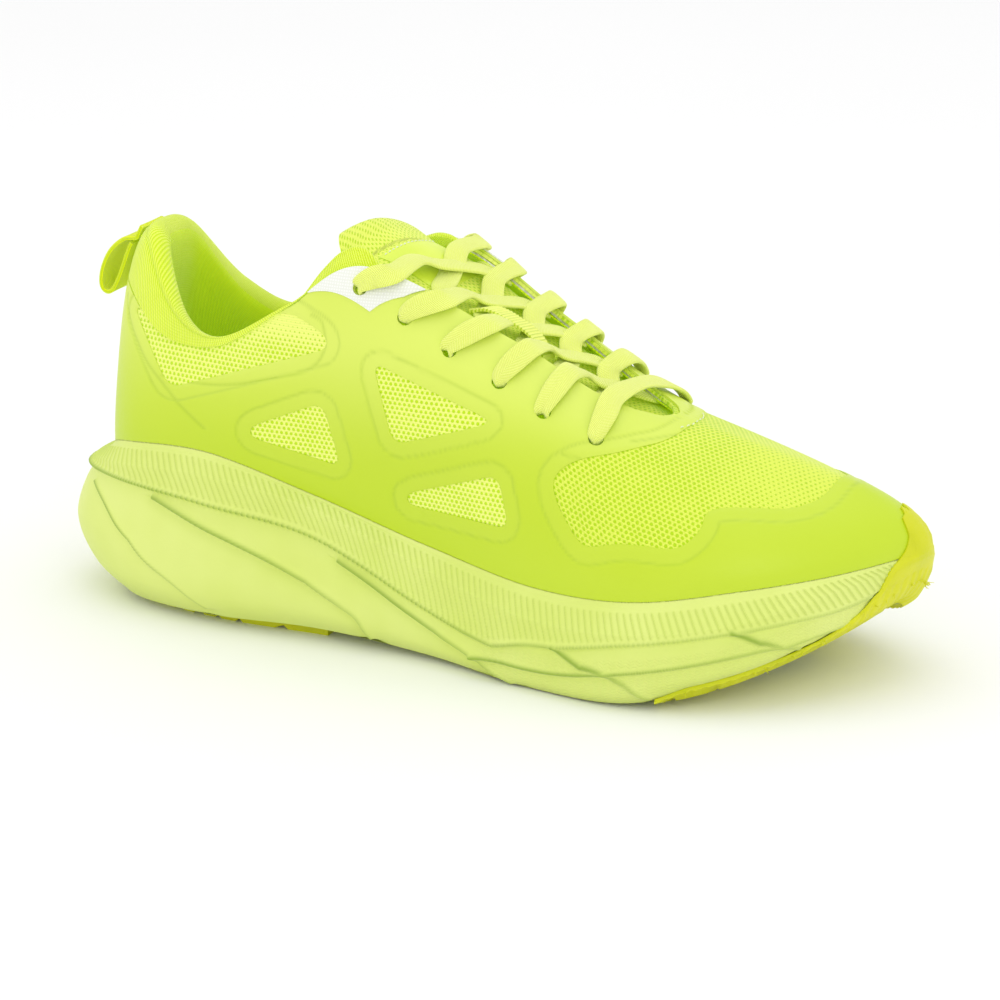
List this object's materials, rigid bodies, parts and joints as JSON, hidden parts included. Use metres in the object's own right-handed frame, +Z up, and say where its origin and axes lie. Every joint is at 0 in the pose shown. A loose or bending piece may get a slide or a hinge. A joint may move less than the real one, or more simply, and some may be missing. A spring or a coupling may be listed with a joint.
{
  "type": "running shoe",
  "caption": "Low-cut laced running shoe for the right foot: mesh upper with welded film windows, padded collar and tongue, thick rockered foam midsole, rubber outsole pods.",
  "frame": {"origin": "centre of the footprint on the floor, under the bounding box", "axes": "+X from heel to toe, +Y towards the inner (medial) side of the right foot, +Z up"},
  "size_m": [0.298, 0.1084, 0.1334],
  "materials": {
    "foam": "closed-cell moulded EVA foam, matte",
    "rubber": "blown rubber, satin",
    "board": "non-woven board",
    "insole": "open-cell foam",
    "insole_fabric": "brushed knit",
    "counter": "moulded thermoplastic",
    "mesh": "engineered mesh",
    "film": "satin welded TPU film",
    "panel": "light grey synthetic",
    "lining": "ribbed knit lining",
    "padding": "open-cell foam padding",
    "tongue": "padded mesh",
    "label": "smooth welded patch, plain",
    "webbing": "woven tape",
    "lace": "flat woven lace",
    "aglet": "heat-shrunk film"
  },
  "bodies": {
    "shoe": {"midsole": "foam", "outsole_toe": "rubber", "outsole_forefoot_lateral": "rubber", "outsole_forefoot_medial": "rubber", "outsole_heel_lateral": "rubber", "outsole_heel_medial": "rubber", "strobel_board": "board", "heel_counter": "counter", "toe_puff": "counter", "mesh_vamp": "mesh", "mesh_quarter_lateral": "mesh", "mesh_quarter_medial": "mesh", "film_heel": "film", "film_lateral": "film", "film_medial": "film", "film_toe": "film", "film_throat": "film", "eyestay_stiffener_lateral": "board", "eyestay_stiffener_medial": "board", "eyelet_panel_lateral": "panel", "eyelet_panel_medial": "panel", "lining_quarter_lateral": "lining", "lining_quarter_medial": "lining", "collar_foam": "padding", "collar_cover": "lining", "tongue": "tongue", "tongue_label": "label", "lace_keeper": "webbing", "lace": "lace", "lace_tail_lateral": "lace", "lace_tail_medial": "lace", "aglet_lateral": "aglet", "aglet_medial": "aglet", "pull_loop_anchor": "webbing"},
    "insole": {"insole_foam": "insole", "insole_cover": "insole_fabric"},
    "tongue_lip": {"tongue_top": "tongue"},
    "heel_loop": {"pull_loop": "webbing"}
  },
  "joints": [
    {"name": "insole_lift", "type": "hinge", "parent": "shoe", "child": "insole", "pos_m": [0.1346, 0, 0.0352], "axis": [0, 1, 0], "range_deg": [0, 5]},
    {"name": "tongue_flex", "type": "hinge", "parent": "shoe", "child": "tongue_lip", "pos_m": [-0.0365, 0, 0.1295], "axis": [0, 1, 0], "range_deg": [0, 35], "stiffness_Nm_per_rad": 0.02},
    {"name": "loop_swing", "type": "hinge", "parent": "shoe", "child": "heel_loop", "pos_m": [-0.1298, 0, 0.1181], "axis": [0, 1, 0], "range_deg": [0, 75], "stiffness_Nm_per_rad": 0.01}
  ]
}
